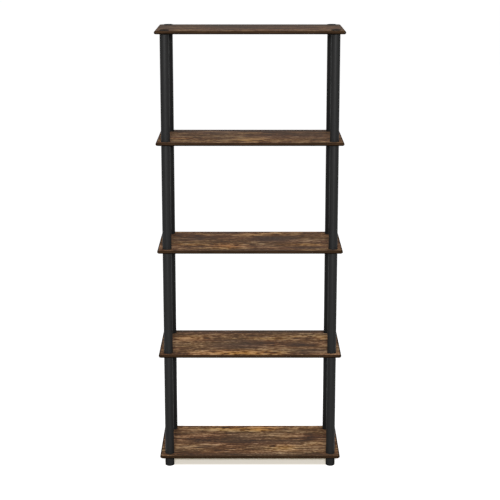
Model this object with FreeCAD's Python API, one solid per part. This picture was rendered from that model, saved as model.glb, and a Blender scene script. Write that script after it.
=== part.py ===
import FreeCAD, Part
import math
import os

# Open bookcase: five printed boards on four columns of tubes that screw together through the boards.
# Millimetres, +Z up, the front faces -Y, and the origin is on the floor under the middle.

# Boards and their edge bands
shelf_width = 600.0  # over the edge band
shelf_depth = 295.0  # over the edge band
board_thickness = 10.0
corner_radius = 9.0  # plan corners, at the outside of the band
band_thickness = 4.0  # at the crown of the band's rounded face
band_seam_gap = 0.3  # where the strip's two ends meet, at the middle of the back
column_inset = 31.0  # column axis from the nearest side, front or back of the board

# Tubes
tier_height = 341.0  # clear height between two boards
tube_diameter = 29.0
tube_wall = 1.5

# Moulded ends of the tubes
collar_height = 2.0  # the collar of a plug lies between the tube and the board
collar_overhang = 0.4  # collars, caps and feet stand out from the tube by this much
plug_sides = 8  # a plug is a prism whose corners grip the tube's bore
plug_clearance = 0.1  # corners to bore
plug_lead_length = 3.0  # tapered end that guides a plug into its tube
plug_lead_inset = 1.0
stud_plug_length = 20.0  # reach of the stud plug into its tube

# Screw joint through a board
stud_diameter = 16.0
stud_engagement = 15.0  # length of stud inside a socket
board_hole_clearance = 0.5  # all round the stud
socket_clearance = 0.2  # all round the stud
socket_end_gap = 2.0  # left beyond the stud's tip
socket_floor = 2.0

# Caps and feet
cap_height = 2.8
cap_rim_chamfer = 1.0
foot_height = 32.0
foot_rim_chamfer = 1.6

# Sizes that follow from those above
pitch = board_thickness + tier_height
board_width = shelf_width - 2 * band_thickness
board_depth = shelf_depth - 2 * band_thickness
board_radius = corner_radius - band_thickness
column_x = shelf_width / 2 - column_inset
column_y = shelf_depth / 2 - column_inset
tube_bore_radius = tube_diameter / 2 - tube_wall
collar_radius = tube_diameter / 2 + collar_overhang
grip_radius = tube_bore_radius - plug_clearance
stud_radius = stud_diameter / 2
stud_length = board_thickness + stud_engagement
socket_radius = stud_radius + socket_clearance
socket_depth = stud_engagement + socket_end_gap

shelf_names = ["bottom", "second", "middle", "fourth", "top"]
corners = {
    "front_left": (-1, -1),
    "front_right": (1, -1),
    "back_left": (-1, 1),
    "back_right": (1, 1),
}


def board_level(index):
    return foot_height + index * pitch


def at_corner(shape, corner, height):
    side, face = corners[corner]
    return shape.translated(FreeCAD.Vector(side * column_x, face * column_y, height))


def at_every_corner(shape, height):
    return [at_corner(shape, corner, height) for corner in corners]


def cylinder(radius, low, high):
    return Part.makeCylinder(radius, high - low, FreeCAD.Vector(0, 0, low))


def level_edges(shape, height):
    # The edges that lie flat at one height.
    return [
        edge
        for edge in shape.Edges
        if math.isclose(edge.BoundBox.ZMin, height, abs_tol=1e-3)
        and math.isclose(edge.BoundBox.ZMax, height, abs_tol=1e-3)
    ]


def board_outline(first, last):
    # Clockwise round the board's rounded corners, from one point on its back edge to another.
    quarter = math.pi / 2
    edges = []
    start = first
    for index, (side, face) in enumerate([(1, 1), (1, -1), (-1, -1), (-1, 1)]):
        centre_x = side * (board_width / 2 - board_radius)
        centre_y = face * (board_depth / 2 - board_radius)
        centre = FreeCAD.Vector(centre_x, centre_y, 0)
        turns = [quarter * (1 - index - part) for part in (0, 0.5, 1)]
        bend = [centre + FreeCAD.Vector(math.cos(turn), math.sin(turn), 0) * board_radius for turn in turns]
        edges += [Part.LineSegment(start, bend[0]).toShape(), Part.Arc(*bend).toShape()]
        start = bend[2]
    edges.append(Part.LineSegment(start, last).toShape())
    return edges


def make_board():
    middle = FreeCAD.Vector(0, board_depth / 2, 0)
    outline = Part.Wire(board_outline(middle, middle))
    plate = Part.Face(outline).extrude(FreeCAD.Vector(0, 0, board_thickness))
    hole = cylinder(stud_radius + board_hole_clearance, 0, board_thickness)
    return plate.cut(at_every_corner(hole, 0)).removeSplitter()


def make_band():
    # A strip with a flat back and a rounded face, carried round the board from one side of the seam
    # to the other.
    seam = band_seam_gap / 2
    back = board_depth / 2
    lower = FreeCAD.Vector(seam, back, 0)
    crown = FreeCAD.Vector(seam, back + band_thickness, board_thickness / 2)
    upper = FreeCAD.Vector(seam, back, board_thickness)
    face = Part.Arc(lower, crown, upper).toShape()
    section = Part.Wire([face, Part.LineSegment(upper, lower).toShape()])
    path = Part.Wire(board_outline(lower, FreeCAD.Vector(-seam, back, 0)))
    return path.makePipeShell([section], True)


def make_tube():
    length = tier_height - 2 * collar_height
    return cylinder(tube_diameter / 2, 0, length).cut(cylinder(tube_bore_radius, 0, length))


def plug_section(radius, height):
    turns = [2 * math.pi * side / plug_sides for side in range(plug_sides + 1)]
    return Part.makePolygon(
        [FreeCAD.Vector(radius * math.cos(turn), radius * math.sin(turn), height) for turn in turns]
    )


def make_prism(collar, end):
    # The part of a plug inside its tube, from the collar at one height to a tapered end at another.
    shoulder = end + math.copysign(plug_lead_length, collar - end)
    sections = [
        plug_section(grip_radius, collar),
        plug_section(grip_radius, shoulder),
        plug_section(grip_radius - plug_lead_inset, end),
    ]
    return Part.makeLoft(sections, True, True)


def make_stud_plug():
    # Height zero is the collar's lower face, on the board. The stud hangs below and the prism stands above.
    collar = cylinder(collar_radius, 0, collar_height)
    prism = make_prism(collar_height, collar_height + stud_plug_length)
    return collar.fuse([prism, cylinder(stud_radius, -stud_length, 0)]).removeSplitter()


def make_socket_plug():
    # Height zero is the collar's upper face, against the board above. The prism hangs below.
    collar = cylinder(collar_radius, -collar_height, 0)
    prism = make_prism(-collar_height, -socket_depth - socket_floor)
    return collar.fuse(prism).cut(cylinder(socket_radius, -socket_depth, 0)).removeSplitter()


def make_cap():
    # A disc with an eased rim on the top board, and a stud that reaches into the socket below.
    disc = cylinder(collar_radius, 0, cap_height)
    disc = disc.makeChamfer(cap_rim_chamfer, level_edges(disc, cap_height))
    return disc.fuse(cylinder(stud_radius, -stud_length, 0)).removeSplitter()


def make_foot():
    # A short round post with a socket in its top and an eased rim at the floor.
    post = cylinder(collar_radius, 0, foot_height)
    post = post.makeChamfer(foot_rim_chamfer, level_edges(post, 0))
    return post.cut(cylinder(socket_radius, foot_height - socket_depth, foot_height))


def make_nodes():
    nodes = {}
    board = make_board()
    band = make_band()
    for index, name in enumerate(shelf_names):
        lift = FreeCAD.Vector(0, 0, board_level(index))
        nodes[f"{name}_shelf_board"] = board.translated(lift)
        nodes[f"{name}_shelf_edge_band"] = band.translated(lift)
    tube = make_tube()
    stud_plug = make_stud_plug()
    socket_plug = make_socket_plug()
    for tier in range(len(shelf_names) - 1):
        base = board_level(tier) + board_thickness
        ceiling = board_level(tier + 1)
        for corner in corners:
            nodes[f"tube_tier_{tier + 1}_{corner}"] = at_corner(tube, corner, base + collar_height)
        nodes[f"stud_plugs_tier_{tier + 1}"] = Part.makeCompound(at_every_corner(stud_plug, base))
        nodes[f"socket_plugs_tier_{tier + 1}"] = Part.makeCompound(at_every_corner(socket_plug, ceiling))
    cap = make_cap()
    foot = make_foot()
    summit = board_level(len(shelf_names) - 1) + board_thickness
    for corner in corners:
        nodes[f"cap_{corner}"] = at_corner(cap, corner, summit)
        nodes[f"foot_{corner}"] = at_corner(foot, corner, 0)
    return nodes


os.makedirs("parts", exist_ok=True)
for node, shape in make_nodes().items():
    shape.exportStep(f"parts/{node}.step")
    volume = sum(solid.Volume for solid in shape.Solids)
    print(f"{node}: {len(shape.Solids)} solid(s), {volume / 1000:.1f} cm3, valid {shape.isValid()}")
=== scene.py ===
import math

import bpy
import numpy as np
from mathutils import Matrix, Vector


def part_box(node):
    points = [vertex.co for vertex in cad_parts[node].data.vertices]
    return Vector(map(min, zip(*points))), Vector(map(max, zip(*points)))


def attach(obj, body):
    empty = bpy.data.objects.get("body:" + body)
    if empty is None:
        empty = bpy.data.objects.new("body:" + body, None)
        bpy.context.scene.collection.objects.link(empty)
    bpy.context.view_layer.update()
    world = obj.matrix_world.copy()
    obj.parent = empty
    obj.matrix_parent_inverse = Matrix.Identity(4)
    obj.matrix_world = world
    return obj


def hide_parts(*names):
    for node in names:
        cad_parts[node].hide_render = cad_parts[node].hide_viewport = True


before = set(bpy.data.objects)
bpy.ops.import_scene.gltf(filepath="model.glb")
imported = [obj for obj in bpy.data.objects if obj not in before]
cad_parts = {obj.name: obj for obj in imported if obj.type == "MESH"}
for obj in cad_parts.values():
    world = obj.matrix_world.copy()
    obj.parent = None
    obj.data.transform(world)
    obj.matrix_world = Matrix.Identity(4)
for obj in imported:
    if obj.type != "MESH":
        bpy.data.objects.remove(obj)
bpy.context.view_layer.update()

# Open bookcase: five wood-print boards on four columns of black tube that screw together through them.
# Shapes are worked out in millimetres, in the frame's own axes, and turned to metres when a mesh is made.
millimetre = 0.001
samePlace = 1e-6  # mm, nearer than this two points are one
shelfNames = ["bottom", "second", "middle", "fourth", "top"]
cornerNames = ["front_left", "front_right", "back_left", "back_right"]
tierNumbers = [1, 2, 3, 4]
print("frame loaded,", len(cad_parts), "CAD nodes")


def linear(hexColour):
    # an sRGB hex colour as the linear RGBA that shader sockets hold
    channels = np.array([int(hexColour[i:i + 2], 16) for i in (1, 3, 5)]) / 255
    straight, curved = channels / 12.92, ((channels + 0.055) / 1.055) ** 2.4
    return (*np.where(channels <= 0.04045, straight, curved).tolist(), 1.0)


def addNode(tree, kind, settings=None, inputs=None, stops=None):
    # one shader node with its settings, its inputs as plain values or outputs to link, and any ramp stops.
    # On a Mix node, inputs 6 and 7 are the two colours and output 2 is the mixed one
    node = tree.nodes.new("ShaderNode" + kind)
    for name, value in (settings or {}).items():
        setattr(node, name, value)
    for key, value in (inputs or {}).items():
        if isinstance(value, bpy.types.NodeSocket):
            tree.links.new(value, node.inputs[key])
        else:
            node.inputs[key].default_value = value
    for place, hexColour in stops or []:
        node.color_ramp.elements.new(place).color = linear(hexColour)
    if stops:  # a new ramp starts with a black and a white stop at its two ends
        node.color_ramp.elements.remove(node.color_ramp.elements[0])
        node.color_ramp.elements.remove(node.color_ramp.elements[-1])
    return node


def newMaterial(name):
    material = bpy.data.materials.new(name)
    material.use_nodes = True
    material.node_tree.nodes.clear()
    return material, material.node_tree


def boxOf(node):
    # a CAD node's lowest and highest corner in millimetres
    low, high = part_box(node)
    return np.array(low) / millimetre, np.array(high) / millimetre


def eased(corners, steps=6):
    # a closed line through corners (a, b, radius): an arc of that radius takes the place of each corner and
    # starts radius * tan(half the turn) before it, so that it touches both sides
    corners = np.array(corners, float)
    places, radii = corners[:, :2], corners[:, 2:]
    arriving = places - np.roll(places, 1, axis=0)
    arriving = arriving / np.linalg.norm(arriving, axis=1, keepdims=True)
    leaving = np.roll(arriving, -1, axis=0)
    cross = arriving[:, 0] * leaving[:, 1] - arriving[:, 1] * leaving[:, 0]
    turn = np.arctan2(cross, (arriving * leaving).sum(axis=1))[:, None]
    side = np.sign(turn) * np.stack([-arriving[:, 1], arriving[:, 0]], axis=1)
    centre = places - arriving * radii * np.tan(np.abs(turn) / 2) + side * radii
    angle = turn * np.linspace(0, 1, steps)
    spokeA, spokeB = -side[:, :1] * radii, -side[:, 1:] * radii
    arcA = spokeA * np.cos(angle) - spokeB * np.sin(angle)
    arcB = spokeA * np.sin(angle) + spokeB * np.cos(angle)
    line = (centre[:, None] + np.stack([arcA, arcB], axis=2)).reshape(-1, 2)
    step = np.diff(line, axis=0, prepend=line[:1] - 1)  # the first point has a step too, so it always stays
    return line[np.linalg.norm(step, axis=1) > samePlace]


def turned(line, segments, thread=None):
    # a lathe form: each (radius, height) of the line goes once round the upright axis. A thread is cut
    # into the wall that has its radius, by depth * (1 + cos(height / pitch * full turn - angle)) / 2, and
    # runs out at both ends
    angle = np.linspace(0, 2 * math.pi, segments, endpoint=False)
    radius = np.repeat(line[:, :1], segments, axis=1)
    height = np.repeat(line[:, 1:2], segments, axis=1)
    if thread:
        runOut = np.clip((height - thread["low"]) / thread["pitch"], 0, 1)
        runOut = runOut * np.clip((thread["high"] - height) / thread["pitch"], 0, 1)
        wall = np.abs(radius - thread["radius"]) < samePlace
        wave = (1 + np.cos(2 * math.pi * height / thread["pitch"] - angle)) / 2
        radius = radius - thread["depth"] * runOut * wall * wave
    return np.stack([radius * np.cos(angle), radius * np.sin(angle), height], axis=-1)


def skin(name, points, rowsClosed=False):
    # points[copy, row, column] are places whose neighbours become quads. Columns close on themselves. Rows
    # close on themselves where asked, and otherwise the first and the last row are filled with a face
    copies, rows, columns = points.shape[:3]
    index = np.arange(copies * rows * columns).reshape(copies, rows, columns)
    faces = [] if rowsClosed else index[:, 0, ::-1].tolist() + index[:, -1].tolist()
    index = np.concatenate([index, index[:, :, :1]], axis=2)
    if rowsClosed:
        index = np.concatenate([index, index[:, :1]], axis=1)
    quads = [index[:, :-1, :-1], index[:, :-1, 1:], index[:, 1:, 1:], index[:, 1:, :-1]]
    faces += np.stack(quads, axis=-1).reshape(-1, 4).tolist()
    mesh = bpy.data.meshes.new(name)
    mesh.from_pydata((points.reshape(-1, 3) * millimetre).tolist(), [], faces)
    return mesh


def addPiece(mesh, node, material, crease=35):
    # puts a finished mesh in the scene in place of a CAD node, smooth where its faces meet at less than the
    # crease, in degrees
    piece = bpy.data.objects.new(mesh.name, mesh)
    bpy.context.scene.collection.objects.link(piece)
    mesh.materials.append(material)
    mesh.shade_smooth()
    mesh.set_sharp_from_angle(angle=math.radians(crease))
    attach(piece, "root")
    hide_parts(node)
    return piece


# Particle board under melamine paper printed as rustic pine: a dull, faintly embossed face on which tan
# dashes stand out in patches from brown and grey brown, with growth rings that bend round a few small knots.
# A few broad bands among the marks below are painted shade and painted highlight, not print.
woodPrintAndPaintedShading = {
    # layers of noise: mm along, across and through the board, then the noise's detail and roughness
    "layers": {
        "bend": ((240, 70, 60), 2, 0.5),
        "zone": ((150, 42, 60), 2, 0.5),
        "dash": ((34, 10, 30), 3, 0.6),
        "streak": ((150, 5, 25), 3, 0.6),
        "fleck": ((10, 7, 10), 2, 0.5),
        "fibre": ((36, 1.2, 10), 2, 0.5),  # about 0.3 mm wide on real pine, drawn coarse so that it shows
        "flame": ((230, 60, 50), 1, 0.5),
        "grey": ((190, 60, 60), 1, 0.5),
    },
    "bendReach": (26, 9, 0),  # mm that the bend carries the grain
    "ringWidth": 10.0, "ringPower": 2.5,  # mm, and the power that narrows a ring's dark line
    "flameRings": 3.0, "knotRings": 3.0,  # how many rings the flame and a knot shift the others by
    # tan (above 0) and dark (below 0) places on each board: x, y, length, width in mm, strength. Most are
    # print; some board-wide bands are painted shade and painted highlight, as marked below
    "figureAndPaintedShading": {
        "bottom": [
            (-30, 112, 280, 72, 0.44), (52, 112, 130, 80, 0.58), (-32, 26, 220, 130, -0.18),
            (-170, -55, 250, 70, 0.06), (-147, -60, 80, 22, -0.30), (-217, -57, 60, 28, -0.20),
            (122, -70, 150, 84, 0.40), (222, -40, 120, 100, 0.10), (205, 30, 120, 50, -0.22),
            # the band at y -140 darkens the board's front strip
            (-182, 0, 110, 70, -0.18), (0, -140, 900, 60, -0.30), (0, 116, 700, 60, 0.20),
            (0, -14, 700, 70, -0.20),
        ],
        "second": [
            # the band at y 150 is painted shade along the board's back
            (-205, 52, 180, 90, 0.38), (0, 150, 1200, 110, -0.50), (70, 38, 190, 54, 0.38),
            (142, 68, 130, 26, 0.32), (245, 55, 90, 76, 0.44), (165, -28, 150, 60, -0.34),
            (-35, -22, 230, 130, -0.34), (-30, -122, 440, 84, 0.80), (200, -100, 160, 70, -0.24),
        ],
        "middle": [
            (50, 100, 290, 64, 0.50), (75, 32, 220, 120, -0.46), (-84, -72, 180, 130, 0.66),
            (-205, -56, 180, 40, 0.56), (180, -52, 180, 30, 0.62), (180, -95, 190, 50, -0.30),
            # the band at y -144 darkens the board's front strip
            (-180, 40, 200, 80, -0.20), (0, -144, 900, 50, -0.30),
        ],
        "fourth": [
            (-203, -46, 190, 44, 0.50), (8, -85, 150, 130, 0.42), (-100, 55, 170, 80, -0.26),
            # the band at y 150 is painted shade along the back, and the one at y -92 a painted highlight
            # along the front
            (190, 40, 220, 120, -0.20), (0, 150, 1200, 150, -0.55), (0, -92, 900, 110, 0.22),
        ],
        # painted shade over the whole board and along its back, and a painted highlight along its front
        "top": [(0, 0, 1200, 700, -0.22), (0, 150, 1200, 240, -0.46), (0, -140, 1000, 200, 0.30)],
    },
    # knots on each board: x, y, size in mm
    "knots": {
        "bottom": [(82, -52, 15), (-188, 2, 11), (-142, -4, 9)],
        "second": [(-152, 50, 15), (193, 64, 12)],
        "middle": [(-43, -58, 12), (214, 28, 9)],
        "fourth": [(-120, 40, 11), (96, 18, 9)],
        "top": [(150, 30, 11), (-90, -40, 9)],
    },
    "knotReach": (3.2, 2.0), "knotHeart": (0.66, 0.86),  # in knot sizes, and where its dark heart fades in
    "spotDepth": 60,  # mm through the board that a place or a knot reaches
    # grey brown: the pull of the dark places, the noise between which it comes in, its most and its look
    "greyPull": -1.6, "greyRange": (-0.05, 0.4), "greyMost": 0.3,
    "greyTurn": {"Saturation": 0.84, "Value": 0.9},
    # what each layer adds to the tone, which runs from 0, the darkest brown, to 1, the palest tan
    "tone": {
        "base": 0.475, "zone": 0.26, "dash": 0.32, "streak": 0.34, "fleck": 0.24, "fibre": 0.08,
        "figureAndPaintedShading": 0.70, "figureDash": 1.2, "ring": -0.18, "grey": -0.13, "heart": -0.5,
    },
    "colours": [
        (0.05, "#2e1a07"), (0.26, "#50300f"), (0.43, "#684527"), (0.56, "#886341"),
        (0.70, "#b0885e"), (0.90, "#d3af87"),
    ],
    "flameHue": 0.012, "figureHue": -0.008, "figureSaturation": 0.44,
    "emboss": 0.04, "embossStreak": 0.4,  # mm, and the streak's share of it
    "roughness": 0.96, "roughnessStreak": 0.03, "ior": 1.5, "specular": 0.33,
}


def makePrintedBoard():
    material, tree = newMaterial("melamine_board_rustic_pine_print_painted_shading")
    place = addNode(tree, "TexCoord").outputs["Object"]
    inputs = {0: place, "Scale": 1 / millimetre}
    place = addNode(tree, "VectorMath", {"operation": "SCALE"}, inputs).outputs[0]

    def layer(name, vector):
        # noise about 0, stretched to the layer's size
        size, detail, roughness = woodPrintAndPaintedShading["layers"][name]
        inputs = {"Vector": vector, "Scale": [1 / side for side in size]}
        stretched = addNode(tree, "Mapping", None, inputs).outputs[0]
        inputs = {"Vector": stretched, "Scale": 1, "Detail": detail, "Roughness": roughness}
        return addNode(tree, "TexNoise", {"normalize": False}, inputs).outputs

    def weightedSum(total, terms):
        # the total plus each term's value times its weight
        for value, weight in terms:
            inputs = {0: value, 1: weight, 2: total}
            total = addNode(tree, "Math", {"operation": "MULTIPLY_ADD"}, inputs).outputs[0]
        return total

    def spot(x, y, level, reach):
        # 1 at a place on a board, falling to 0 at the reach
        inputs = {"Vector": grain, "Location": (x, y, level), "Scale": (*reach, woodPrintAndPaintedShading["spotDepth"])}
        offset = addNode(tree, "Mapping", {"vector_type": "TEXTURE"}, inputs).outputs[0]
        return addNode(tree, "TexGradient", {"gradient_type": "SPHERICAL"}, {0: offset}).outputs[1]

    inputs = {0: layer("bend", place)["Color"], 1: woodPrintAndPaintedShading["bendReach"], 2: place}
    grain = addNode(tree, "VectorMath", {"operation": "MULTIPLY_ADD"}, inputs).outputs[0]
    names = ["zone", "dash", "streak", "fleck", "fibre", "flame", "grey"]
    zone, dash, streak, fleck, fibre, flame, greyZone = [layer(name, grain)[0] for name in names]

    figureAndPaintedShading, knot = 0.0, 0.0
    ringPhase = weightedSum(0.0, [(flame, woodPrintAndPaintedShading["flameRings"])])
    for name in shelfNames:
        level = boxOf(f"{name}_shelf_board")[1][2]
        # print marks and the painted bands of shade and highlight go in alike
        for x, y, length, width, strength in woodPrintAndPaintedShading["figureAndPaintedShading"][name]:
            mark = spot(x, y, level, (length / 2, width / 2))
            figureAndPaintedShading = weightedSum(figureAndPaintedShading, [(mark, strength)])
        for x, y, size in woodPrintAndPaintedShading["knots"][name]:
            mark = spot(x, y, level, [reach * size for reach in woodPrintAndPaintedShading["knotReach"]])
            ringPhase = weightedSum(ringPhase, [(mark, woodPrintAndPaintedShading["knotRings"])])
            knot = addNode(tree, "Math", {"operation": "MAXIMUM"}, {0: mark, 1: knot}).outputs[0]

    # grey brown gathers in the dark places and keeps off the tan ones
    low, high = woodPrintAndPaintedShading["greyRange"]
    inputs = {
        "Value": weightedSum(greyZone, [(figureAndPaintedShading, woodPrintAndPaintedShading["greyPull"])]),
        "From Min": low, "From Max": high, "To Min": 0, "To Max": woodPrintAndPaintedShading["greyMost"],
    }
    greyZone = addNode(tree, "MapRange", {"interpolation_type": "SMOOTHSTEP"}, inputs).outputs[0]

    # growth rings: a saw wave across the board, bent by the flame and wrapped round the knots
    across = addNode(tree, "SeparateXYZ", None, {0: grain}).outputs[1]
    ring = weightedSum(ringPhase, [(across, 1 / woodPrintAndPaintedShading["ringWidth"])])
    ring = addNode(tree, "Math", {"operation": "FRACT"}, {0: ring}).outputs[0]
    inputs = {0: ring, 1: woodPrintAndPaintedShading["ringPower"]}
    ring = addNode(tree, "Math", {"operation": "POWER"}, inputs).outputs[0]
    low, high = woodPrintAndPaintedShading["knotHeart"]
    inputs = {"Value": knot, "From Min": low, "From Max": high, "To Min": 0, "To Max": 1}
    heart = addNode(tree, "MapRange", {"interpolation_type": "SMOOTHSTEP"}, inputs).outputs[0]

    share = woodPrintAndPaintedShading["tone"]
    figureShare = weightedSum(share["figureAndPaintedShading"], [(dash, share["figureDash"])])
    tone = weightedSum(share["base"], [
        (zone, share["zone"]), (dash, share["dash"]), (streak, share["streak"]), (fleck, share["fleck"]),
        (fibre, share["fibre"]), (figureAndPaintedShading, figureShare), (ring, share["ring"]), (greyZone, share["grey"]),
        (heart, share["heart"]),
    ])
    brown = addNode(tree, "ValToRGB", None, {0: tone}, woodPrintAndPaintedShading["colours"]).outputs[0]
    # tan places are more golden than the rest and dark ones greyer. A hue of 0.5 and a saturation of 1
    # leave a colour as it is
    inputs = {
        "Hue": weightedSum(0.5, [(flame, woodPrintAndPaintedShading["flameHue"]), (figureAndPaintedShading, woodPrintAndPaintedShading["figureHue"])]),
        "Saturation": weightedSum(1.0, [(figureAndPaintedShading, woodPrintAndPaintedShading["figureSaturation"])]),
        "Color": brown,
    }
    brown = addNode(tree, "HueSaturation", None, inputs).outputs[0]
    grey = addNode(tree, "HueSaturation", None, {**woodPrintAndPaintedShading["greyTurn"], "Color": brown}).outputs[0]
    colour = addNode(tree, "Mix", {"data_type": "RGBA"}, {0: greyZone, 6: brown, 7: grey}).outputs[2]

    inputs = {
        "Height": weightedSum(fibre, [(streak, woodPrintAndPaintedShading["embossStreak"])]),
        "Distance": woodPrintAndPaintedShading["emboss"] * millimetre, "Strength": 1,
    }
    bump = addNode(tree, "Bump", None, inputs).outputs[0]
    inputs = {
        "Base Color": colour, "Normal": bump,
        "Roughness": weightedSum(woodPrintAndPaintedShading["roughness"], [(streak, woodPrintAndPaintedShading["roughnessStreak"])]),
        "IOR": woodPrintAndPaintedShading["ior"], "Specular IOR Level": woodPrintAndPaintedShading["specular"],
    }
    shader = addNode(tree, "BsdfPrincipled", None, inputs).outputs[0]
    addNode(tree, "OutputMaterial", None, {"Surface": shader})
    return material


printedBoard = makePrintedBoard()
for name in shelfNames:
    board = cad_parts[f"{name}_shelf_board"]
    board.data.materials.clear()
    board.data.materials.append(printedBoard)
print("boards printed")

# PVC edge strip, extruded with a rounded face and printed to go with the boards: darker and calmer than they
# are, and its short streaks follow the strip round the corners. Its lower rim is darkened nearly to black as
# painted shade, where the face turns under.
edgeStrip = {
    "thickness": 4.0, "cornerRadius": 9.0, "seamGap": 0.3,  # mm
    "cornerSteps": 14, "faceSteps": 17,  # points round a corner and down the face
    "streak": (70, 1.6, 40),  # mm along, across and from shelf to shelf
    "streakDetail": 3, "streakRoughness": 0.55,
    "colours": [(0.30, "#1e140c"), (0.50, "#2b1e13"), (0.70, "#3c2b1c")],
    "rim": (7.0, 10.5), "rimPaintedShade": "#3c3432",  # mm down the face between which painted shade darkens the rim
    "emboss": 0.03,  # mm
    "roughness": 0.7, "ior": 1.53, "specular": 0.015,
}


def makeEdgeStripFinish():
    material, tree = newMaterial("pvc_edge_strip_brown_print_shaded_rim")
    along = addNode(tree, "Attribute", {"attribute_name": "alongStrip"}).outputs["Vector"]
    inputs = {"Vector": along, "Scale": [1 / side for side in edgeStrip["streak"]]}
    scaled = addNode(tree, "Mapping", None, inputs).outputs[0]
    inputs = {
        "Vector": scaled, "Scale": 1,
        "Detail": edgeStrip["streakDetail"], "Roughness": edgeStrip["streakRoughness"],
    }
    streak = addNode(tree, "TexNoise", None, inputs).outputs[0]
    colour = addNode(tree, "ValToRGB", None, {0: streak}, edgeStrip["colours"]).outputs[0]
    girth = addNode(tree, "SeparateXYZ", None, {0: along}).outputs[1]
    # painted shade: the face darkens towards its lower rim, which turns down away from the lamps
    inputs = {"Value": girth, "From Min": edgeStrip["rim"][0], "From Max": edgeStrip["rim"][1]}
    rim = addNode(tree, "MapRange", {"interpolation_type": "SMOOTHSTEP"}, inputs).outputs[0]
    inputs = {0: rim, 6: colour, 7: linear(edgeStrip["rimPaintedShade"])}
    colour = addNode(tree, "Mix", {"data_type": "RGBA", "blend_type": "MULTIPLY"}, inputs).outputs[2]
    inputs = {"Height": streak, "Distance": edgeStrip["emboss"] * millimetre}
    bump = addNode(tree, "Bump", None, inputs).outputs[0]
    inputs = {
        "Base Color": colour, "Normal": bump, "Roughness": edgeStrip["roughness"],
        "IOR": edgeStrip["ior"], "Specular IOR Level": edgeStrip["specular"],
    }
    shader = addNode(tree, "BsdfPrincipled", None, inputs).outputs[0]
    addNode(tree, "OutputMaterial", None, {"Surface": shader})
    return material


def makeEdgeStrip(name):
    # the strip's section is carried round the board: each place on the shelf's rounded outline has an
    # outward direction, and the section's first number goes that way while its second goes up
    node = f"{name}_shelf_edge_band"
    low, high = boxOf(node)
    radius, seam = edgeStrip["cornerRadius"], edgeStrip["seamGap"] / 2
    half = (high[:2] - low[:2]) / 2
    quarter = np.linspace(0, math.pi / 2, edgeStrip["cornerSteps"])
    # the corners come in the order back left, front left, front right, back right
    angle = math.pi / 2 * np.arange(1, 5)[:, None] + quarter
    centre = (half - radius) * np.array([(-1, 1), (-1, -1), (1, -1), (1, 1)])
    outward = np.stack([np.cos(angle), np.sin(angle)], axis=-1)
    path = (centre[:, None] + radius * outward).reshape(-1, 2)
    path = np.concatenate([[[-seam, half[1]]], path, [[seam, half[1]]]])
    outward = np.concatenate([[[0, 1]], outward.reshape(-1, 2), [[0, 1]]])

    # the rounded face is an arc over the board's thickness whose rise is the strip's thickness
    rise, halfHeight = edgeStrip["thickness"], (high[2] - low[2]) / 2
    bow = (halfHeight ** 2 + rise ** 2) / (2 * rise)
    spread = np.linspace(1, -1, edgeStrip["faceSteps"]) * math.asin(halfHeight / bow)
    section = np.stack([bow * np.cos(spread) - bow, (low[2] + high[2]) / 2 + bow * np.sin(spread)], axis=1)
    level = path[:, None] + section[None, :, :1] * outward[:, None]
    height = np.broadcast_to(section[None, :, 1:], (*level.shape[:2], 1))
    mesh = skin(f"rounded_{node}", np.concatenate([level, height], axis=-1)[None])

    # how far a point lies along the strip and across it, for the grain of the print
    reach = np.cumsum(np.linalg.norm(np.diff(path, axis=0, prepend=path[:1]), axis=1))
    girth = np.cumsum(np.linalg.norm(np.diff(section, axis=0, prepend=section[:1]), axis=1))
    reach, girth = np.meshgrid(reach, girth, indexing="ij")
    along = np.stack([reach, girth, np.full_like(reach, high[2])], axis=-1)
    attribute = mesh.attributes.new("alongStrip", "FLOAT_VECTOR", "POINT")
    attribute.data.foreach_set("vector", along.astype(np.float32).ravel())
    return addPiece(mesh, node, edgeStripFinish)


edgeStripFinish = makeEdgeStripFinish()
for name in shelfNames:
    makeEdgeStrip(name)
print("edge strips wrapped")

columns = {corner: np.array([*(sum(boxOf(f"cap_{corner}")) / 2)[:2], 0]) for corner in cornerNames}

# Black PVC pipe, extruded: satin, with faint draw lines along its length. Real ones are about 0.3 mm
# apart, and these are drawn coarse so that they show.
pipe = {
    "wall": 1.5, "endRound": 0.35, "segments": 96,  # mm, points round the pipe
    "drawLine": (1.8, 1.8, 420), "lineDetail": 3, "lineRoughness": 0.6, "lineRange": (0.30, 0.70),  # mm
    "colours": ("#181818", "#212121"), "roughness": (0.46, 0.58),  # at the two ends of the lines' range
    "emboss": 0.02,  # mm
    "ior": 1.53, "specular": 0.06,
}


def makePipeFinish():
    material, tree = newMaterial("pvc_pipe_extruded_black")
    place = addNode(tree, "TexCoord").outputs["Object"]
    inputs = {"Vector": place, "Scale": [1 / (side * millimetre) for side in pipe["drawLine"]]}
    scaled = addNode(tree, "Mapping", None, inputs).outputs[0]
    inputs = {"Vector": scaled, "Scale": 1, "Detail": pipe["lineDetail"], "Roughness": pipe["lineRoughness"]}
    line = addNode(tree, "TexNoise", None, inputs).outputs[0]
    stops = list(zip(pipe["lineRange"], pipe["colours"]))
    colour = addNode(tree, "ValToRGB", None, {0: line}, stops).outputs[0]
    inputs = {
        "Value": line, "From Min": pipe["lineRange"][0], "From Max": pipe["lineRange"][1],
        "To Min": pipe["roughness"][0], "To Max": pipe["roughness"][1],
    }
    roughness = addNode(tree, "MapRange", None, inputs).outputs[0]
    inputs = {"Height": line, "Distance": pipe["emboss"] * millimetre}
    bump = addNode(tree, "Bump", None, inputs).outputs[0]
    inputs = {
        "Base Color": colour, "Normal": bump, "Roughness": roughness,
        "IOR": pipe["ior"], "Specular IOR Level": pipe["specular"],
    }
    shader = addNode(tree, "BsdfPrincipled", None, inputs).outputs[0]
    addNode(tree, "OutputMaterial", None, {"Surface": shader})
    return material


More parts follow.
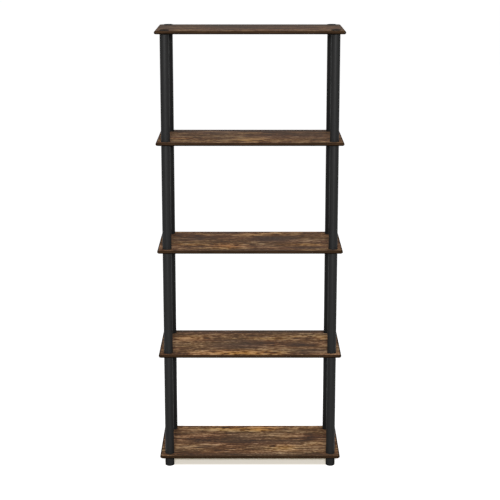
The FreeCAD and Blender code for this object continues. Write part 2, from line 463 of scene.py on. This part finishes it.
def makePipe(tier, corner):
    # a closed ring section turned round the column's axis
    node = f"tube_tier_{tier}_{corner}"
    low, high = boxOf(node)
    outside, rounding = (high[0] - low[0]) / 2, pipe["endRound"]
    inside = outside - pipe["wall"]
    line = eased([
        (outside, low[2], rounding), (outside, high[2], rounding),
        (inside, high[2], rounding), (inside, low[2], rounding),
    ])
    points = turned(line, pipe["segments"]) + columns[corner]
    mesh = skin(f"extruded_{node}", points[None], rowsClosed=True)
    return addPiece(mesh, node, pipeFinish)


pipeFinish = makePipeFinish()
for tier in tierNumbers:
    for corner in cornerNames:
        makePipe(tier, corner)
print("pipes drawn")

# Black polypropylene, injection moulded in a spark-eroded tool: a fine even matt grain. The real grain is
# about 0.2 mm, and it is drawn coarse so that it shows.
fitting = {
    "segments": 96,  # points round each fitting, and the lengths below are in mm
    "collarHeight": 2.0, "collarRound": 0.4,
    "capRound": 1.2, "capCrown": 0.3, "crownRound": 12,
    "crownShare": 0.45, "capFlatShare": 0.3, "footFlatShare": 0.6,  # of the rim's radius
    "footRound": 1.8,
    "studRadius": 8.0, "studTip": 6.8, "tipHeight": 1.4,
    "socketGap": 0.2, "socketDepth": 17.0, "mouth": 0.8,
    "pitch": 4.0, "threadDepth": 0.9, "threadRows": 56,
    "gripRadius": 12.9, "gripSides": 8, "gripLedge": 0.5, "leadLength": 3.0, "leadInset": 1.0,
    "grain": 0.7, "grainDetail": 2, "grainRoughness": 0.6, "emboss": 0.04,
    "colours": [(0.30, "#1c1c1c"), (0.70, "#262626")],
    "roughness": 0.8, "ior": 1.49, "specular": 0.002,
}


def makeFittingFinish():
    material, tree = newMaterial("polypropylene_moulded_black")
    place = addNode(tree, "TexCoord").outputs["Object"]
    inputs = {
        "Vector": place, "Scale": 1 / (fitting["grain"] * millimetre),
        "Detail": fitting["grainDetail"], "Roughness": fitting["grainRoughness"],
    }
    grain = addNode(tree, "TexNoise", None, inputs).outputs[0]
    colour = addNode(tree, "ValToRGB", None, {0: grain}, fitting["colours"]).outputs[0]
    inputs = {"Height": grain, "Distance": fitting["emboss"] * millimetre}
    bump = addNode(tree, "Bump", None, inputs).outputs[0]
    inputs = {
        "Base Color": colour, "Normal": bump, "Roughness": fitting["roughness"],
        "IOR": fitting["ior"], "Specular IOR Level": fitting["specular"],
    }
    shader = addNode(tree, "BsdfPrincipled", None, inputs).outputs[0]
    addNode(tree, "OutputMaterial", None, {"Surface": shader})
    return material


def threadedWall(radius, start, end):
    # rows close enough together for a thread, from one height to the other, and the thread itself
    heights = np.linspace(start, end, fitting["threadRows"])
    rows = np.stack([np.full_like(heights, radius), heights, np.zeros_like(heights)], axis=1).tolist()
    thread = {
        "radius": radius, "low": min(start, end), "high": max(start, end),
        "pitch": fitting["pitch"], "depth": fitting["threadDepth"],
    }
    return rows, thread


def studFoot(tip, seat):
    # the lower end of a stud and its threaded wall up to the seat
    rows, thread = threadedWall(fitting["studRadius"], tip + fitting["tipHeight"], seat)
    return [(fitting["studTip"], tip, 0), *rows], thread


def socketMouth(mouth):
    # from the eased mouth of a socket down its threaded wall to its floor
    radius = fitting["studRadius"] + fitting["socketGap"]
    rows, thread = threadedWall(radius, mouth - fitting["mouth"], mouth - fitting["socketDepth"])
    return [(radius + fitting["mouth"], mouth, 0), *rows], thread


def gripped(heights, insets):
    # an eight-sided prism: every row's radius is the grip less its inset, times cos(half a side) and over
    # cos(angle from the middle of its side)
    angle = np.linspace(0, 2 * math.pi, fitting["segments"], endpoint=False)
    half = math.pi / fitting["gripSides"]
    grip = fitting["gripRadius"] - np.array(insets)[:, None]
    radius = grip * math.cos(half) / np.cos(angle % (2 * half) - half)
    height = np.broadcast_to(np.array(heights)[:, None], radius.shape)
    return np.stack([radius * np.cos(angle), radius * np.sin(angle), height], axis=-1)


def flatEnd(height):
    # a round row in the middle of a prism's flat end
    return turned(np.array([(fitting["studRadius"], height)]), fitting["segments"])


def addFitting(madeHow, node, points, corners):
    # one copy of the form on each of the named columns
    copies = np.stack([points + columns[corner] for corner in corners])
    return addPiece(skin(f"{madeHow}_{node}", copies), node, fittingFinish)


def makeCap(corner):
    # from the stud's tip up its wall, out under the disc and over its rounded rim to a low crown
    node = f"cap_{corner}"
    low, high = boxOf(node)
    seat = boxOf("top_shelf_board")[1][2]
    stud, thread = studFoot(low[2], seat)
    line = eased([
        *stud, (rimRadius, seat, fitting["collarRound"]),
        (rimRadius, high[2] - fitting["capCrown"], fitting["capRound"]),
        (rimRadius * fitting["crownShare"], high[2], fitting["crownRound"]),
        (rimRadius * fitting["capFlatShare"], high[2], 0),
    ])
    return addFitting("threaded", node, turned(line, fitting["segments"], thread), [corner])


def makeFoot(corner):
    # from the floor round the eased rim, up the post and down into the socket
    node = f"foot_{corner}"
    low, high = boxOf(node)
    socket, thread = socketMouth(high[2])
    line = eased([
        (rimRadius * fitting["footFlatShare"], low[2], 0), (rimRadius, low[2], fitting["footRound"]),
        (rimRadius, high[2], fitting["collarRound"]), *socket,
    ])
    return addFitting("moulded", node, turned(line, fitting["segments"], thread), [corner])


def makeStudPlugs(tier):
    # from the stud's tip up its wall, over the collar and up the prism to its tapered lead
    node = f"stud_plugs_tier_{tier}"
    low, high = boxOf(node)
    seat = boxOf(f"{shelfNames[tier - 1]}_shelf_board")[1][2]
    collar, lead = seat + fitting["collarHeight"], high[2] - fitting["leadLength"]
    stud, thread = studFoot(low[2], seat)
    line = eased([
        *stud, (rimRadius, seat, fitting["collarRound"]), (rimRadius, collar, fitting["collarRound"]),
        (fitting["gripRadius"] + fitting["gripLedge"], collar, 0),
    ])
    prism = gripped([collar, lead, high[2]], [0, 0, fitting["leadInset"]])
    points = np.concatenate([turned(line, fitting["segments"], thread), prism, flatEnd(high[2])])
    return addFitting("threaded", node, points, cornerNames)


def makeSocketPlugs(tier):
    # from the prism's tapered lead up to the collar, over it and down into the socket
    node = f"socket_plugs_tier_{tier}"
    low, high = boxOf(node)
    collar, lead = high[2] - fitting["collarHeight"], low[2] + fitting["leadLength"]
    socket, thread = socketMouth(high[2])
    line = eased([
        (fitting["gripRadius"] + fitting["gripLedge"], collar, 0),
        (rimRadius, collar, fitting["collarRound"]), (rimRadius, high[2], fitting["collarRound"]), *socket,
    ])
    prism = gripped([low[2], lead, collar], [fitting["leadInset"], 0, 0])
    points = np.concatenate([flatEnd(low[2]), prism, turned(line, fitting["segments"], thread)])
    return addFitting("threaded", node, points, cornerNames)


fittingFinish = makeFittingFinish()
capLow, capHigh = boxOf("cap_front_left")
rimRadius = (capHigh[0] - capLow[0]) / 2  # caps, collars and feet all reach this far out
for corner in cornerNames:
    makeCap(corner)
    makeFoot(corner)
for tier in tierNumbers:
    makeStudPlugs(tier)
    makeSocketPlugs(tier)
print("fittings turned")

# Plain pale studio: a floor that is white to the camera, whose glow is held back and warmed under the
# bookcase as a painted shadow over the real one there, a soft lamp on each side of the camera, a weak light
# from behind, and a sky that is brighter at the horizon than overhead, as pale walls are.
studio = {
    "floorSize": 60.0, "floorDrop": 0.0002,  # metres, the drop keeps the floor clear of the feet
    "floorSeen": "#e8e8e8", "floorBounce": "#5a5a5a",  # as it is seen, and as it lights the bookcase
    "liftAround": "#eeeeee", "liftInPaintedShadow": "#81765d",  # glow that makes it white; under the boards a weaker, warmer glow paints a shadow
    "underSize": (0.35, 0.1475, 1), "underEdge": (0.74, 0.88),  # half sizes of the painted shadow in metres, and shares of them over which it fades out
    "skyHorizon": 0.33, "skyOverhead": 0.15,
    "lampPlace": (0.42, -4.7, 2.0), "lampAim": (0, 0, 0.7), "lampSize": 0.45,  # metres
    "lampPower": 172,  # watts
    "backPower": 2.8, "backRise": 0.3, "backSoftness": 0.4,  # watts per square metre, degrees
}


def seenRays(tree):
    # 1 for rays that show the background: straight from the camera, reflected or through glass
    path = addNode(tree, "LightPath").outputs
    inputs = {0: path["Is Camera Ray"], 1: path["Is Glossy Ray"]}
    seen = addNode(tree, "Math", {"operation": "MAXIMUM"}, inputs).outputs[0]
    inputs = {0: seen, 1: path["Is Transmission Ray"]}
    return addNode(tree, "Math", {"operation": "MAXIMUM"}, inputs).outputs[0]


def makeFloor():
    reach = studio["floorSize"] / 2
    corners = np.array([(-1, -1, 0), (1, -1, 0), (1, 1, 0), (-1, 1, 0)]) * reach
    corners = corners - (0, 0, studio["floorDrop"])
    mesh = bpy.data.meshes.new("studio_floor")
    mesh.from_pydata(corners.tolist(), [], [(0, 1, 2, 3)])
    material, tree = newMaterial("studio_paper_white")
    seen = seenRays(tree)
    inputs = {0: seen, 6: linear(studio["floorBounce"]), 7: linear(studio["floorSeen"])}
    colour = addNode(tree, "Mix", {"data_type": "RGBA"}, inputs).outputs[2]
    matt = addNode(tree, "BsdfDiffuse", None, {"Color": colour}).outputs[0]
    # how far out a place is, as a share of the painted shadow's half width or half depth, whichever is more
    place = addNode(tree, "TexCoord").outputs["Object"]
    inputs = {"Vector": place, "Scale": studio["underSize"]}
    share = addNode(tree, "Mapping", {"vector_type": "TEXTURE"}, inputs).outputs[0]
    share = addNode(tree, "VectorMath", {"operation": "ABSOLUTE"}, {0: share}).outputs[0]
    share = addNode(tree, "SeparateXYZ", None, {0: share}).outputs
    share = addNode(tree, "Math", {"operation": "MAXIMUM"}, {0: share[0], 1: share[1]}).outputs[0]
    inputs = {"Value": share, "From Min": studio["underEdge"][0], "From Max": studio["underEdge"][1]}
    around = addNode(tree, "MapRange", {"interpolation_type": "SMOOTHSTEP"}, inputs).outputs[0]
    # painted shadow: under the bookcase the glow is weaker and warmer
    inputs = {0: around, 6: linear(studio["liftInPaintedShadow"]), 7: linear(studio["liftAround"])}
    glow = addNode(tree, "Mix", {"data_type": "RGBA"}, inputs).outputs[2]
    lift = addNode(tree, "Emission", None, {"Color": glow, "Strength": seen}).outputs[0]
    both = addNode(tree, "AddShader", None, {0: matt, 1: lift}).outputs[0]
    addNode(tree, "OutputMaterial", None, {"Surface": both})
    mesh.materials.append(material)
    floor = bpy.data.objects.new("studio_floor", mesh)
    bpy.context.scene.collection.objects.link(floor)


def makeSky():
    # lights the bookcase less the higher it comes from, and is plain white to rays that show the background
    world = bpy.data.worlds.new("studio_sky")
    world.use_nodes = True
    tree = world.node_tree
    tree.nodes.clear()
    direction = addNode(tree, "TexCoord").outputs["Generated"]
    upward = addNode(tree, "SeparateXYZ", None, {0: direction}).outputs[2]
    inputs = {
        "Value": upward, "From Min": 0, "From Max": 1,
        "To Min": studio["skyHorizon"], "To Max": studio["skyOverhead"],
    }
    level = addNode(tree, "MapRange", None, inputs).outputs[0]
    white = linear("#ffffff")
    light = addNode(tree, "Background", None, {"Color": white, "Strength": level}).outputs[0]
    backdrop = addNode(tree, "Background", None, {"Color": white, "Strength": 1}).outputs[0]
    both = addNode(tree, "MixShader", None, {0: seenRays(tree), 1: light, 2: backdrop}).outputs[0]
    addNode(tree, "OutputWorld", None, {"Surface": both})
    bpy.context.scene.world = world


def makeLamp(name, side):
    lamp = bpy.data.lights.new(name, "AREA")
    lamp.shape, lamp.size, lamp.energy = "DISK", studio["lampSize"], studio["lampPower"]
    holder = bpy.data.objects.new(name, lamp)
    place, aim = Vector(studio["lampPlace"]) * Vector((side, 1, 1)), Vector(studio["lampAim"])
    holder.location = place
    holder.rotation_euler = (aim - place).to_track_quat("-Z", "Y").to_euler()
    holder.visible_camera = False
    bpy.context.scene.collection.objects.link(holder)


def makeBackLight():
    # shines from behind and a hair upwards, so it reaches the backs of the pipes and strips but neither the
    # floor nor the boards' upper faces
    light = bpy.data.lights.new("back_light", "SUN")
    light.energy, light.angle = studio["backPower"], math.radians(studio["backSoftness"])
    holder = bpy.data.objects.new("back_light", light)
    holder.rotation_euler = (math.radians(-90 - studio["backRise"]), 0, 0)
    bpy.context.scene.collection.objects.link(holder)


makeFloor()
makeSky()
makeLamp("left_lamp", -1)
makeLamp("right_lamp", 1)
makeBackLight()

# The photograph's point of view: place, tilt and lens were fitted to the shelves' corners in it.
viewpoint = {
    "distance": 4.6135, "height": 1.794, "pitch": 13.188,  # metres, degrees
    "lens": 102.55, "sensor": 36,  # mm
}


def makeCamera():
    lens = bpy.data.cameras.new("photo_camera")
    lens.sensor_width = viewpoint["sensor"]
    lens.lens = viewpoint["lens"]
    camera = bpy.data.objects.new("photo_camera", lens)
    camera.location = (0, -viewpoint["distance"], viewpoint["height"])
    camera.rotation_euler = (math.radians(90 - viewpoint["pitch"]), 0, 0)
    bpy.context.scene.collection.objects.link(camera)
    bpy.context.scene.camera = camera


makeCamera()
bpy.context.scene.view_settings.view_transform = "Standard"
print("studio lit, camera set")
